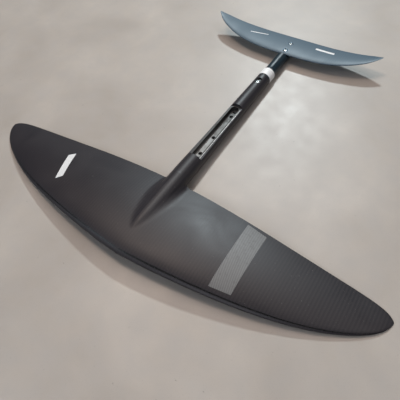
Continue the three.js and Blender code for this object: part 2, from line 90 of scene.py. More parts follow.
SEAT_Z = 9.3
SEAT_FRONT_Y = 56.0
SEAT_BACK_Y = 206.0
SEAT_HALF_WIDTH = 20.0
SEAT_CORNER_CUT = 11.0
SEAT_ROUNDING = 0.8
SEAT_COVER = 0.05  # keeps the land just above the laminate core's own
POCKET_FRONT_Y = 59.0
POCKET_BACK_Y = 203.0
POCKET_HALF_WIDTH = 8.3
POCKET_CORNER_CUT = 4.0
POCKET_ROUNDING = 1.6
POCKET_FLOOR_Z = 1.5
SOCKET_MOUNT_Y = 151.0  # of the mount on the pocket's floor
TRAY_WALL = 1.3
TRAY_FLOOR = 2.0
TRAY_ROUNDING = 2.0
TRAY_FLOOR_ROUNDING = 0.9
TRAY_BEVEL = 0.25
FLANGE_THICKNESS = 0.6
FLANGE_HALF_WIDTH = 11.4
FLANGE_BACK_GAP = 0.5
FLANGE_CORNER_CUT = 7.0
FLANGE_ROUNDING = 1.2
MAST_SCREW_Y = [74.0, 119.0, 183.0, 197.0]
MAST_SCREW_BORE = 3.3
MAST_SCREW_COUNTERSINK = 0.6
SLEEVE_RADIUS = 4.6
SLEEVE_FOOT_RADIUS = 6.6
SLEEVE_FOOT_Z = -10.5
SLEEVE_BOTTOM_Z = -13.6
SLEEVE_BEVEL = 0.3

TAIL_TUBE_RADIUS = 12.4
TAIL_TUBE_BORE = 8.0
TAIL_BACK_Y = 462.0
TAIL_END_ROUNDING = [(1.0, 0.0), (0.3, 0.3), (0.0, 1.0)]  # ahead of the end, in from the side
SPIGOT_RADIUS = 10.6
SPIGOT_FRONT_Y = 243.0
SPIGOT_BEVEL = 1.0
COLLAR_RADIUS = 13.7
COLLAR_BACK_Y = 338.0
COLLAR_EASE = 3.0  # length over which the collar narrows to the tube
COLLAR_ROUNDING = [(0.0, 0.8), (0.3, 0.25), (0.9, 0.0)]  # aft of the face, in from the side
TAIL_SLEEVE_FRONT_Y = 236.0
REAR_BORE = 12.7
LABEL_THICKNESS = 0.3
LABEL_CLEARANCE = GAP / 3
LABEL_FRONT_MARGIN = 2.0
LABEL_BACK_MARGIN = 2.5
LABEL_BEVEL = 0.15
LOCK_SCREW_Y = 286.0
LOCK_SCREW_LENGTH = 13.0
LOCK_RECESS_Z = 10.7
LOCK_RECESS_RADIUS = 5.2
LOCK_RECESS_LENGTH = 8.0

STAB_HALF_SPAN = 193.3
STAB_FRONT_Y = 399.6
STAB_ROOT_CHORD = 66.5
STAB_SWEEP = 49.2
STAB_SWEEP_POWER = 2.94
STAB_BACK_SWEEP = -5.7
STAB_TIP_START = 0.86  # span fraction where the tip starts to round
STAB_TIP_BACK = 0.75  # share of the tip's rounding that the leading edge takes
STAB_TIP_RISE = 18.8
STAB_RISE_POWER = 3.2
STAB_THICKNESS = 0.1
STAB_EDGE = 0.3
STAB_TIP = 0.9985
STAB_SEAT_Z = 2.5
STAB_SEAT_AHEAD = 3.0  # how far the tube's flat seat starts before the stabilizer
SHIM_THICKNESS = 1.2
SHIM_HALF_WIDTH = 9.5
SHIM_ROUNDING = 2.0
SHIM_FRONT_Y = STAB_FRONT_Y + 3.0
SHIM_BACK_Y = TAIL_BACK_Y - 1.0
SHIM_BEVEL = 0.2
STAB_SCREW_Y = {"front": 411.0, "rear": 437.0}
STAB_SCREW_LENGTH = 12.0
STAB_BUSH_RADIUS = 5.6
STAB_BUSH_STEP = 3.2
STAB_BUSH_CLEARANCE = 0.1
STAB_BUSH_BEVEL = 0.2
STAB_HALF_HEIGHT = STAB_ROOT_CHORD * STAB_THICKNESS / 2
STAB_MIDDLE_Z = STAB_SEAT_Z + SHIM_THICKNESS + 2 * GAP + STAB_HALF_HEIGHT
STAB_TOP_Z = STAB_MIDDLE_Z + STAB_HALF_HEIGHT - GAP

SCREW_RADIUS = 2.4
SCREW_POINT = 0.5
SCREW_SLACK = 0.1  # gap under the head, and steps at both ends of the thread
THREAD_PITCH = 0.8
THREAD_DEPTH = 0.35
THREAD_START = 0.7  # above the screw's tip
THREAD_END = 1.5  # least distance below the screw's head
SCREW_NECK = 0.6
SCREW_HEAD_RADIUS = 4.3
SCREW_HEAD_HEIGHT = 2.2
SCREW_HEAD_SIDE = 0.9  # height of the head's upright side, under its dome
SCREW_HEAD_BEVEL = 0.15
SCREW_SOCKET_RADIUS = 1.6
SCREW_SOCKET_RIM = 1.0  # flat ring round the socket
SCREW_SOCKET_FLOOR = 0.6
WASHER_RADIUS = 4.6
WASHER_THICKNESS = 0.8
WASHER_CLEARANCE = 0.2
WASHER_BEVEL = 0.12

# ---- printed marks: corners in plan and their rounding, foil millimetres ----
WING_MARK = ([(-191, -112), (-178, -96), (-204, -34), (-218, -50)], 4.0)
WING_BAND = ([(152, -134), (186, -128), (183, -14), (147, -9)], 1.0)
STAB_DASH_PORT = ([(-100, 436), (-60, 446), (-60, 448), (-100, 438)], 0.8)
STAB_DASH_STARBOARD = ([(55, 442), (98, 440), (98, 447), (55, 449)], 1.5)
MARK_LIFT = 0.06
MARK_DEPTH = 0.3
MARK_STEP = 3.0  # longest side of a mark's outline

# ---- surface patterns, metres ----
TOW_WIDTH = 0.0026
HATCH_PITCH = 0.0034
LABEL_RING_PITCH = 0.0052
PLY_THICKNESS = 0.0004
SOCKET_SHADE_Y = (-0.03, 0.05)  # where the socket's floor turns from grey to dark, partly painted shade from the pocket's walls
FLANGE_FADE_Z = (0.0240, 0.0255)
# band of the starboard rim that gets a painted highlight
RIM_HIGHLIGHT_X = (0.0108, 0.0115)

# ---- view ----
VIEW_BEARING = 140.125  # degrees, from aft towards starboard
VIEW_ELEVATION = 55.076
VIEW_ROLL = math.radians(-7.7195)
VIEW_DISTANCE = 0.69037
VIEW_TARGET = Vector((0.047633, -0.152593, 0.0))
LENS_MM = 35.985


def foil_to_row():
    """The matrix from foil millimetres to row metres, taken from the mast socket's floor mount."""
    mounts = {mount["name"]: mount for mount in frame["record"]["mounts"]}
    floor = mounts["mast_socket_floor"]
    up = Vector(floor["axis"]).normalized()
    starboard = Vector((1, 0, 0))
    aft = up.cross(starboard)
    origin = Vector(floor["pos_m"]) - MILLIMETRE * (SOCKET_MOUNT_Y * aft + POCKET_FLOOR_Z * up)
    turn = Matrix((starboard, aft, up)).transposed().to_4x4()
    return Matrix.Translation(origin) @ turn @ Matrix.Scale(MILLIMETRE, 4)


TO_ROW = foil_to_row()


# ---- mesh building ----
WELD_DISTANCE = 1e-7  # metres
SHARP_ANGLE = math.radians(35)


def add_object(name, data):
    thing = bpy.data.objects.new(name, data)
    bpy.context.scene.collection.objects.link(thing)
    return thing


def make_piece(name, points, faces):
    """A closed mesh object from foil-frame points, shaded smooth except at sharp edges."""
    mesh = bpy.data.meshes.new(name)
    mesh.from_pydata([TO_ROW @ Vector(point) for point in points], [], faces)
    shape = bmesh.new()
    shape.from_mesh(mesh)
    bmesh.ops.remove_doubles(shape, verts=shape.verts, dist=WELD_DISTANCE)
    bmesh.ops.recalc_face_normals(shape, faces=shape.faces)
    shape.to_mesh(mesh)
    shape.free()
    piece = add_object(name, mesh)
    shade(piece)
    return piece


def shade(piece):
    for polygon in piece.data.polygons:
        polygon.use_smooth = True
    piece.data.set_sharp_from_angle(angle=SHARP_ANGLE)


def band(here, there, steps):
    """Faces between two rows of point numbers, over some steps from their start."""
    count = len(here)
    return [(here[i], here[(i + 1) % count], there[(i + 1) % count], there[i]) for i in range(steps)]


def loft(name, rings, closed=False):
    """Body through rings of equal point counts, capped at both ends or closed into a loop."""
    count = len(rings[0])
    points = [point for ring in rings for point in ring]
    rows = [range(r * count, (r + 1) * count) for r in range(len(rings))]
    faces = []
    for here, there in zip(rows, rows[1:]):
        faces += band(here, there, count)
    if closed:
        faces += band(rows[-1], rows[0], count)
    else:
        faces += [tuple(reversed(rows[0])), tuple(rows[-1])]
    return make_piece(name, points, faces)


def level(outline, z):
    return [(point[0], point[1], z) for point in outline]


def prism(name, outline, low, high):
    """Upright body over an outline given in plan."""
    return loft(name, [level(outline, low), level(outline, high)])


def circle(count):
    """Angles at equal steps all round."""
    return [2 * math.pi * i / count for i in range(count)]


def upright_ring(y, z, radius, segments=48):
    """Ring about an upright axis; radius may be a function of the angle."""
    ring = []
    for angle in circle(segments):
        r = radius(angle) if callable(radius) else radius
        ring.append((r * math.cos(angle), y + r * math.sin(angle), z))
    return ring


def axial_ring(y, radius):
    """Ring about the fuselage axis."""
    return [(radius * math.cos(a), y, radius * math.sin(a)) for a in circle(96)]


def upright_body(name, y, profile, closed=False, segments=48):
    """Turned body about an upright axis, from pairs of height and radius."""
    return loft(name, [upright_ring(y, z, radius, segments) for z, radius in profile], closed)


def axial_body(name, profile, closed=False):
    """Turned body about the fuselage axis, from pairs of y and radius."""
    return loft(name, [axial_ring(y, radius) for y, radius in profile], closed)


def bores(places, radius):
    """Cutters for upright holes from the axis upwards, at some places along it."""
    return [upright_body("bore", y, [(0, radius), (FAR, radius)]) for y in places]


def cut(piece, *cutters):
    """Take the cutters' shapes out of a piece and throw the cutters away."""
    for cutter in cutters:
        modifier = piece.modifiers.new("cut", "BOOLEAN")
        modifier.operation = "DIFFERENCE"
        modifier.solver = "EXACT"
        modifier.object = cutter
    bake(piece)
    for cutter in cutters:
        bpy.data.objects.remove(cutter)


def bake(piece):
    """Make a piece's modifiers part of its mesh."""
    graph = bpy.context.evaluated_depsgraph_get()
    mesh = bpy.data.meshes.new_from_object(piece.evaluated_get(graph))
    piece.modifiers.clear()
    piece.data = mesh
    shape = bmesh.new()
    shape.from_mesh(mesh)
    bmesh.ops.remove_doubles(shape, verts=shape.verts, dist=2 * WELD_DISTANCE)
    bmesh.ops.dissolve_degenerate(shape, edges=shape.edges, dist=WELD_DISTANCE)
    shape.to_mesh(mesh)
    shape.free()
    shade(piece)


def finish_piece(piece, body, material, slot, *nodes):
    """Give a piece its material and its body, and hide the CAD nodes that it stands for; its slot is
    not used.
    """
    piece.data.materials.clear()
    piece.data.materials.append(material)
    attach(piece, body)
    if nodes:
        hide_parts(*nodes)


def rounded_outline(corners, radius, steps=5):
    """Closed outline through corners, each replaced by an arc."""
    outline = []
    count = len(corners)
    for i, corner in enumerate(corners):
        here = Vector(corner)
        before = (Vector(corners[i - 1]) - here).normalized()
        after = (Vector(corners[(i + 1) % count]) - here).normalized()
        half = before.angle(after) / 2
        centre = here + (before + after).normalized() * (radius / math.sin(half))
        start = here + before * (radius / math.tan(half)) - centre
        end = here + after * (radius / math.tan(half)) - centre
        for k in range(steps + 1):
            outline.append(centre + start.slerp(end, k / steps))
    return outline


def rectangle(half_width, front, back):
    return [(-half_width, front), (half_width, front), (half_width, back), (-half_width, back)]


def socket_outline(half_width, front_y, back_y, corner_cut, radius):
    """Plan of the mast socket: square in front, both rear corners cut off."""
    corners = [
        (-half_width, front_y), (half_width, front_y), (half_width, back_y - corner_cut),
        (half_width - corner_cut, back_y), (-half_width + corner_cut, back_y),
        (-half_width, back_y - corner_cut),
    ]
    return rounded_outline(corners, radius)


# ---- wing sections ----
def half_thickness(fraction, ratio):
    """Half the thickness of the section, as a part of the chord (NACA four-digit)."""
    curve = 0.2969 * math.sqrt(fraction) - 0.126 * fraction - 0.3516 * fraction ** 2
    return 5 * ratio * (curve + 0.2843 * fraction ** 3 - 0.1015 * fraction ** 4)


def wing_chord(part):
    """Chord at a part of the half span."""
    fullness = max(1 - part ** WING_FULLNESS, 0) ** WING_TIP_ROUNDING
    chord = WING_ROOT_CHORD * fullness - WING_TIP_CUT * part ** WING_TIP_CUT_POWER
    return max(chord, WING_LEAST_CHORD)


def wing_point(x, fraction, side):
    """Point of the wing's surface; side is 1 above, -1 below and 0 on the camber line."""
    part = abs(x) / WING_HALF_SPAN
    chord = wing_chord(part)
    back_y = sum(offset * part ** power for power, offset in WING_SWEEP.items())
    back_y -= WING_TIP_CUT * part ** WING_TIP_CUT_POWER
    drop = WING_TIP_DROP * (1 - max(1 - part ** 2, 0) ** WING_ARCH)
    edge = min(WING_EDGE, chord * EDGE_SHARE)
    thickness = chord * half_thickness(fraction, WING_THICKNESS) + edge * fraction
    y = back_y - chord * (1 - fraction)
    z = 4 * WING_CAMBER * chord * fraction * (1 - fraction) + side * thickness - drop
    cosine = math.cos(WING_INCIDENCE)
    sine = math.sin(WING_INCIDENCE)
    return Vector((x, y * cosine + z * sine, z * cosine - y * sine + WING_HEIGHT))


def fuselage_radius(y):
    """Radius of the fuselage: an elliptic nose, then a smooth curve through the given radii."""
    if y <= NOSE_TIP_Y:
        return 0.0
    if y <= NOSE_BACK_Y:
        along = (NOSE_BACK_Y - y) / (NOSE_BACK_Y - NOSE_TIP_Y)
        return FUSELAGE_RADII[0][1] * math.sqrt(1 - along ** 2)
    slopes = [0.0]
    for (y0, r0), (y2, r2) in zip(FUSELAGE_RADII, FUSELAGE_RADII[2:]):
        slopes.append((r2 - r0) / (y2 - y0))
    slopes.append(slopes[-1])
    for i, ((y0, r0), (y1, r1)) in enumerate(zip(FUSELAGE_RADII, FUSELAGE_RADII[1:])):
        if y <= y1:
            length = y1 - y0
            t = (y - y0) / length
            ease = r0 * (1 + 2 * t) * (1 - t) ** 2 + r1 * t ** 2 * (3 - 2 * t)
            bend = slopes[i] * t * (1 - t) ** 2 - slopes[i + 1] * t ** 2 * (1 - t)
            return ease + length * bend
    return FUSELAGE_RADII[-1][1]


def root_outline(radius, surface, blend, reach, count):
    """Half a section from the crown of the fuselage over its fillet and out along the wing.

    surface gives the wing's height at x. The points are evenly spaced, as pairs of x and height.
    """
    settling_rounds = 6
    arc_steps = 24
    wing_steps = 8
    x_fillet = 0.0
    sunk = True
    for _ in range(settling_rounds):
        centre_z = surface(x_fillet) + blend
        gap = (radius + blend) ** 2 - centre_z ** 2
        if radius <= surface(0) or gap <= 0:
            break
        x_fillet = math.sqrt(gap)
        sunk = False
    path = []
    if sunk:
        x_fillet = 0.0
        path.append((0.0, surface(0)))
    else:
        turn = math.atan2(x_fillet, centre_z)
        for i in range(arc_steps + 1):
            angle = turn * i / arc_steps
            path.append((radius * math.sin(angle), radius * math.cos(angle)))
        for i in range(1, arc_steps + 1):
            angle = turn * (1 - i / arc_steps)
            path.append((x_fillet - blend * math.sin(angle), centre_z - blend * math.cos(angle)))
    for i in range(1, wing_steps + 1):
        x = x_fillet + (reach - x_fillet) * i / wing_steps
        path.append((x, surface(x)))
    return evenly_spaced(path, count)


def evenly_spaced(path, count):
    """count + 1 points at equal steps along a path of pairs."""
    lengths = [0.0]
    for (x0, z0), (x1, z1) in zip(path, path[1:]):
        lengths.append(lengths[-1] + math.hypot(x1 - x0, z1 - z0))
    result = []
    shortest = 1e-9
    k = 0
    for i in range(count + 1):
        goal = lengths[-1] * i / count
        while k < len(path) - 2 and lengths[k + 1] < goal:
            k += 1
        t = (goal - lengths[k]) / max(lengths[k + 1] - lengths[k], shortest)
        (x0, z0), (x1, z1) = path[k], path[k + 1]
        result.append((x0 + t * (x1 - x0), z0 + t * (z1 - z0)))
    return result


# ---- wing and fuselage skin ----
ROOT_POINTS = 30  # across the fuselage and its fillet, on each side
SPAN_POINTS = 58  # from there to the tip
CHORD_POINTS = 46
CHORD_CROWDING = 1.75  # power that draws the points towards the leading edge


def edge_height(side):
    """Height of the root trailing edge on one side, measured outwards from the axis."""
    return side * WING_HEIGHT + WING_EDGE


def edge_reach(side):
    """Where the fuselage's circle crosses the trailing edge's surface."""
    return math.sqrt(fuselage_radius(0) ** 2 - edge_height(side) ** 2)


def fillet_radius(reach, side):
    """Fillet between the fuselage and the trailing edge's surface that ends at reach."""
    radius = fuselage_radius(0)
    height = edge_height(side)
    return (reach ** 2 - radius ** 2 + height ** 2) / (2 * (radius - height))


def mirrored(half_row):
    """A whole row from port to starboard, from its starboard half."""
    port = [Vector((-point.x, point.y, point.z)) for point in reversed(half_row[1:])]
    return port + half_row


def wing_row(fraction, side):
    """Points of the skin from tip to tip at one chord fraction."""
    root_y = wing_point(0, fraction, 0).y
    outward = side if side else 1
    base_reach = edge_reach(outward) + PLAN_FILLET
    reach = base_reach + ROOT_REACH_GROWTH * (1 - fraction) ** ROOT_REACH_POWER
    forward = min(max(-root_y / ROOT_FILLET_LENGTH, 0), 1)
    blend = fillet_radius(base_reach, outward) + ROOT_FILLET_GROWTH * forward
    outline = root_outline(
        fuselage_radius(root_y),
        lambda x: outward * wing_point(x, fraction, side).z,
        blend, reach, ROOT_POINTS,
    )
    half_row = [Vector((x, wing_point(x, fraction, side).y, outward * z)) for x, z in outline]
    tip = WING_TIP * WING_HALF_SPAN
    for i in range(1, SPAN_POINTS + 1):
        x = reach + (tip - reach) * math.sin(math.pi / 2 * i / SPAN_POINTS)
        half_row.append(wing_point(x, fraction, side))
    return mirrored(half_row)


def fuselage_half_ring(y, opening, side):
    """Half ring behind the trailing edge; opening falls from 1 at the edge to 0 on the round tube."""
    reach = edge_reach(side) + PLAN_FILLET * (1 - math.sqrt(1 - opening ** 2))
    height = edge_height(side)
    outline = root_outline(fuselage_radius(0), lambda x: height, fillet_radius(reach, side),
                           reach, ROOT_POINTS)
    scale = fuselage_radius(y) / fuselage_radius(0) if opening == 0 else 1
    return mirrored([Vector((scale * x, y, side * scale * z)) for x, z in outline])


def whole_ring(y, opening):
    upper = fuselage_half_ring(y, opening, 1)
    return upper + list(reversed(fuselage_half_ring(y, opening, -1)))


def fuselage_rings():
    """Rings from the trailing edge aft to the tube's end and forward again along its bore."""
    fillet_steps = 8
    tube_steps = 60
    rounding_steps = 4
    rings = []
    for i in range(1, fillet_steps + 1):
        along = math.sin(math.pi / 2 * i / fillet_steps)
        rings.append(whole_ring(PLAN_FILLET * along, 1 - along if i < fillet_steps else 0))
    last_y = FUSELAGE_BACK_Y - FUSELAGE_ROUNDING
    for i in range(1, tube_steps + 1):
        rings.append(whole_ring(PLAN_FILLET + (last_y - PLAN_FILLET) * i / tube_steps, 0))
    end = rings[-1]
    outer = fuselage_radius(last_y)

    def scaled(y, radius):
        return [Vector((p.x * radius / outer, y, p.z * radius / outer)) for p in end]

    for i in range(1, rounding_steps + 1):
        angle = math.pi / 2 * i / rounding_steps
        rings.append(scaled(last_y + FUSELAGE_ROUNDING * math.sin(angle),
                            outer - FUSELAGE_ROUNDING * (1 - math.cos(angle))))
    rings.append(scaled(FUSELAGE_BACK_Y, REAR_BORE))
    rings.append(scaled(TAIL_SLEEVE_FRONT_Y, REAR_BORE))
    return rings


def skin_mesh():
    """The wing moulded in one with its fuselage, before its openings are cut."""
    fractions = [(i / CHORD_POINTS) ** CHORD_CROWDING for i in range(CHORD_POINTS + 1)]
    rows = [wing_row(f, 1) for f in reversed(fractions[1:])]
    rows.append(wing_row(0, 0))
    rows += [wing_row(f, -1) for f in fractions[1:]]
    points = [point for row in rows for point in row]
    width = len(rows[0])
    numbers = [range(r * width, (r + 1) * width) for r in range(len(rows))]
    faces = []
    for here, there in zip(numbers, numbers[1:]):
        faces += band(here, there, width - 1)
    first, last = numbers[0], numbers[-1]
    for i in [*range(SPAN_POINTS), *range(width - 1 - SPAN_POINTS, width - 1)]:
        faces.append((first[i + 1], first[i], last[i], last[i + 1]))
    faces.append([row[0] for row in numbers])
    faces.append([row[-1] for row in reversed(numbers)])
    root = slice(SPAN_POINTS, width - SPAN_POINTS)
    ring = [*first[root], *reversed(last[root])]
    for new_ring in fuselage_rings():
        new_numbers = range(len(points), len(points) + len(new_ring))
        points += new_ring
        faces += band(ring, new_numbers, len(ring))
        ring = new_numbers
    faces.append(list(ring))
    return make_piece("wing_skin", points, faces)


def socket_cutter(half_width, front_y, back_y, corner_cut, low):
    """Cutter with the mast socket's plan, from a height upwards."""
    outline = socket_outline(half_width, front_y, back_y, corner_cut, SEAT_ROUNDING)
    return prism("socket", outline, low, FAR)


def lock_recess_cutter():
    """Slot with round ends, from the lock screw aft."""
    back_y = LOCK_SCREW_Y + LOCK_RECESS_LENGTH
    slot = []
    for angle in circle(48):
        y = back_y if math.sin(angle) >= 0 else LOCK_SCREW_Y
        slot.append((LOCK_RECESS_RADIUS * math.cos(angle), y + LOCK_RECESS_RADIUS * math.sin(angle)))
    return prism("recess", slot, LOCK_RECESS_Z, FAR)


def wing_skin(material):
    """Skin of wing and fuselage with the openings for tray, lock screw and sleeves."""
    spread = TRAY_WALL + GAP
    cutters = [
        socket_cutter(SEAT_HALF_WIDTH, SEAT_FRONT_Y, SEAT_BACK_Y, SEAT_CORNER_CUT,
                      SEAT_Z + SEAT_COVER),
        socket_cutter(POCKET_HALF_WIDTH + spread, POCKET_FRONT_Y - spread, POCKET_BACK_Y + spread,
                      POCKET_CORNER_CUT, POCKET_FLOOR_Z - TRAY_FLOOR - GAP),
        lock_recess_cutter(),
    ]
    foot = SLEEVE_FOOT_RADIUS + GAP
    shaft = SLEEVE_RADIUS + GAP
    for y in MAST_SCREW_Y:
        cutters.append(upright_body("sleeve_hole", y, [
            (-FAR, foot), (SLEEVE_FOOT_Z + GAP, foot), (SLEEVE_FOOT_Z + GAP, shaft),
            (POCKET_FLOOR_Z, shaft)]))
    skin = skin_mesh()
    cut(skin, *cutters)
    finish_piece(skin, "foil", material, "carbon_shell", "upper_shell", "lower_shell")


def raised(point, height):
    return point + Vector((0, 0, height))


def painted_nose_reflection(material):
    """Thin dark strip along the top of the leading edge: a painted dark reflection where the nose
    turns down.
    """
    front, back = REFLECTION_LINE_FRACTIONS
    steps = 90
    for name, side in (("painted_nose_reflection_port", -1), ("painted_nose_reflection_starboard", 1)):
        rings = []
        for i in range(steps + 1):
            x = side * (REFLECTION_LINE_START_X + (REFLECTION_LINE_END_X - REFLECTION_LINE_START_X) * i / steps)
            above = [raised(wing_point(x, fraction, 1), REFLECTION_LINE_LIFT)
                     for fraction in (front, (front + back) / 2, back)]
            below = [raised(wing_point(x, fraction, 1), -REFLECTION_LINE_DEPTH) for fraction in (back, front)]
            rings.append(above + below)
        finish_piece(loft(name, rings), "foil", material, "carbon_shell")


# ---- mast socket ----
def mast_tray(material):
    """Metal lining of the socket with a flange round its mouth and four countersunk holes."""
    flange_z = SEAT_Z + GAP
    top_z = flange_z + FLANGE_THICKNESS
    floor_steps = 4

    def pocket(inset, z, radius=POCKET_ROUNDING):
        return level(socket_outline(POCKET_HALF_WIDTH - inset, POCKET_FRONT_Y + inset,
                                    POCKET_BACK_Y - inset, POCKET_CORNER_CUT, radius), z)

    def flange(inset, z):
        return level(socket_outline(FLANGE_HALF_WIDTH - inset, SEAT_FRONT_Y + GAP + inset,
                                    SEAT_BACK_Y - FLANGE_BACK_GAP - inset, FLANGE_CORNER_CUT,
                                    FLANGE_ROUNDING), z)

    rings = [
        pocket(-TRAY_WALL, POCKET_FLOOR_Z - TRAY_FLOOR, TRAY_ROUNDING),
        pocket(-TRAY_WALL, flange_z, TRAY_ROUNDING),
        flange(0, flange_z), flange(0, top_z - TRAY_BEVEL), flange(TRAY_BEVEL, top_z),
        pocket(-TRAY_BEVEL, top_z), pocket(0, top_z - TRAY_BEVEL),
    ]
    for i in range(floor_steps + 1):
        angle = math.pi / 2 * i / floor_steps
        rings.append(pocket(TRAY_FLOOR_ROUNDING * (1 - math.cos(angle)),
                            POCKET_FLOOR_Z + TRAY_FLOOR_ROUNDING * (1 - math.sin(angle))))
    tray = loft("mast_tray_lining", rings)
    above = 0.4  # how far the cutters rise over the floor
    mouth = MAST_SCREW_BORE + MAST_SCREW_COUNTERSINK + above
    cut(tray, *[upright_body("screw_hole", y, [
        (-FAR, MAST_SCREW_BORE), (POCKET_FLOOR_Z - MAST_SCREW_COUNTERSINK, MAST_SCREW_BORE),
        (POCKET_FLOOR_Z + above, mouth)]) for y in MAST_SCREW_Y])
    finish_piece(tray, "foil", material, "socket_metal", "mast_tray")


def mast_sleeves(material):
    """Flanged sleeves under the socket, countersunk from below for the mast's screws."""
    top = POCKET_FLOOR_Z - TRAY_FLOOR - GAP
    bottom = SLEEVE_BOTTOM_Z
    foot_z = SLEEVE_FOOT_Z
    foot = SLEEVE_FOOT_RADIUS
    bore = MAST_SCREW_BORE
    bevel = SLEEVE_BEVEL
    profile = [
        (top, bore + bevel), (top, SLEEVE_RADIUS - bevel), (top - bevel, SLEEVE_RADIUS),
        (foot_z, SLEEVE_RADIUS), (foot_z, foot - bevel), (foot_z - bevel, foot),
        (bottom + bevel, foot), (bottom, foot - bevel), (bottom, foot - 2 * bevel),
        (foot_z, bore), (top - bevel, bore),
    ]
    for i, y in enumerate(MAST_SCREW_Y, 1):
        sleeve = upright_body(f"mast_sleeve_{i}", y, profile, closed=True)
        finish_piece(sleeve, "foil", material, "steel", f"mast_screw_sleeve_{i}")


# ---- tail ----
def tail_profile():
    """Outline of the tail's half section, from the spigot over the collar to the rear end."""
    ease_steps = 6
    tube_steps = 12
    collar_y = FUSELAGE_BACK_Y + GAP
    tube_y = COLLAR_BACK_Y + COLLAR_EASE
    shoulder = COLLAR_RADIUS - TAIL_TUBE_RADIUS
    profile = [
        (SPIGOT_FRONT_Y, TAIL_TUBE_BORE), (SPIGOT_FRONT_Y, SPIGOT_RADIUS - SPIGOT_BEVEL),
        (SPIGOT_FRONT_Y + SPIGOT_BEVEL, SPIGOT_RADIUS), (collar_y, SPIGOT_RADIUS),
    ]
    profile += [(collar_y + aft, COLLAR_RADIUS - inset) for aft, inset in COLLAR_ROUNDING]
    for i in range(ease_steps + 1):
        along = i / ease_steps
        ease = along ** 2 * (3 - 2 * along)
        profile.append((COLLAR_BACK_Y + COLLAR_EASE * along, COLLAR_RADIUS - shoulder * ease))
    stretch = TAIL_BACK_Y - TAIL_END_ROUNDING[0][0] - tube_y
    for i in range(1, tube_steps):
        profile.append((tube_y + stretch * i / tube_steps, TAIL_TUBE_RADIUS))
    for ahead, inset in TAIL_END_ROUNDING:
        profile.append((TAIL_BACK_Y - ahead, TAIL_TUBE_RADIUS - inset))
    profile.append((TAIL_BACK_Y, TAIL_TUBE_BORE))
    return profile


def tail_tube(material):
    """Tail tube with its spigot and collar, its rear end cut flat under the stabilizer."""
    tube = axial_body("tail_tube_skin", tail_profile(), closed=True)
    seat = rectangle(FAR, STAB_FRONT_Y - STAB_SEAT_AHEAD, TAIL_BACK_Y + FAR)
    cut(tube, prism("seat", seat, STAB_SEAT_Z, FAR), *bores([LOCK_SCREW_Y], SCREW_RADIUS + GAP))
    finish_piece(tube, "foil", material, "carbon_tube", "tail_tube")


def label_ring(material):
    """White tape round the collar."""
    inner = COLLAR_RADIUS + LABEL_CLEARANCE
    outer = COLLAR_RADIUS + GAP + LABEL_THICKNESS
    front = FUSELAGE_BACK_Y + LABEL_FRONT_MARGIN
    back = COLLAR_BACK_Y - LABEL_BACK_MARGIN
    ring = axial_body("label_ring", [
        (front, inner), (front, outer - LABEL_BEVEL), (front + LABEL_BEVEL, outer),
        (back - LABEL_BEVEL, outer), (back, outer - LABEL_BEVEL), (back, inner)], closed=True)
    finish_piece(ring, "foil", material, "white_tape", "label_band")


# ---- stabilizer ----
def stab_point(x, fraction, side):
    """Point of the stabilizer's surface; side is 1 above, -1 below and 0 in the middle."""
    part = abs(x) / STAB_HALF_SPAN
    front_y = STAB_FRONT_Y + STAB_SWEEP * part ** STAB_SWEEP_POWER
    chord = STAB_FRONT_Y + STAB_ROOT_CHORD + STAB_BACK_SWEEP * part ** 2 - front_y
    toward_tip = min(max((part - STAB_TIP_START) / (1 - STAB_TIP_START), 0), 1)
    lost = chord * (1 - math.sqrt(1 - toward_tip ** 2))
    chord -= lost
    front_y += STAB_TIP_BACK * lost
    edge = min(STAB_EDGE, chord * EDGE_SHARE)
    thickness = chord * half_thickness(fraction, STAB_THICKNESS) + edge * fraction
    rise = STAB_TIP_RISE * part ** STAB_RISE_POWER
    return Vector((x, front_y + chord * fraction, STAB_MIDDLE_Z + rise + side * thickness))


def stab_skin(material):
    """Upswept stabilizer with holes for its two bushes."""
    columns = 57
    rows = 28
    crowding = 1.8
    fractions = [(i / rows) ** crowding for i in range(rows + 1)]
    section = [(f, 1) for f in reversed(fractions[1:])] + [(0, 0)] + [(f, -1) for f in fractions[1:]]
    rings = []
    for i in range(-columns, columns + 1):
        x = STAB_TIP * STAB_HALF_SPAN * math.sin(math.pi / 2 * i / columns)
        rings.append([stab_point(x, fraction, side) for fraction, side in section])
    skin = loft("stab_skin", rings)
    cut(skin, *bores(STAB_SCREW_Y.values(), STAB_BUSH_RADIUS + STAB_BUSH_CLEARANCE))
    finish_piece(skin, "stabilizer", material, "stab_carbon", "stab_upper_skin", "stab_lower_skin")


def stab_shim(material):
    """Pad between the tail tube's flat seat and the stabilizer."""
    low = STAB_SEAT_Z + GAP
    top = low + SHIM_THICKNESS

    def plan(inset, z):
        corners = rectangle(SHIM_HALF_WIDTH - inset, SHIM_FRONT_Y + inset, SHIM_BACK_Y - inset)
        return level(rounded_outline(corners, SHIM_ROUNDING), z)

    shim = loft("stab_shim_pad", [plan(SHIM_BEVEL, low), plan(0, low + SHIM_BEVEL),
                                  plan(0, top - SHIM_BEVEL), plan(SHIM_BEVEL, top)])
    cut(shim, *bores(STAB_SCREW_Y.values(), SCREW_RADIUS + GAP))
    finish_piece(shim, "foil", material, "shim_plastic", "stab_shim")


def stab_bush(place, y, material):
    """Bush through the stabilizer with a step for the screw's washer."""
    low = STAB_MIDDLE_Z - STAB_HALF_HEIGHT
    top = STAB_TOP_Z
    step = top - STAB_BUSH_STEP
    bore = SCREW_RADIUS + GAP
    seat = WASHER_RADIUS + GAP
    rim = STAB_BUSH_RADIUS
    bevel = STAB_BUSH_BEVEL
    bush = upright_body(f"stab_bush_ring_{place}", y, [
        (low, bore + bevel), (low, rim - bevel), (low + bevel, rim), (top - bevel, rim),
        (top, rim - bevel), (top, seat + bevel), (top - bevel, seat), (step, seat),
        (step, bore + bevel), (step - bevel, bore), (low + bevel, bore)], closed=True)
    finish_piece(bush, "stabilizer", material, "steel", f"stab_bush_{place}")


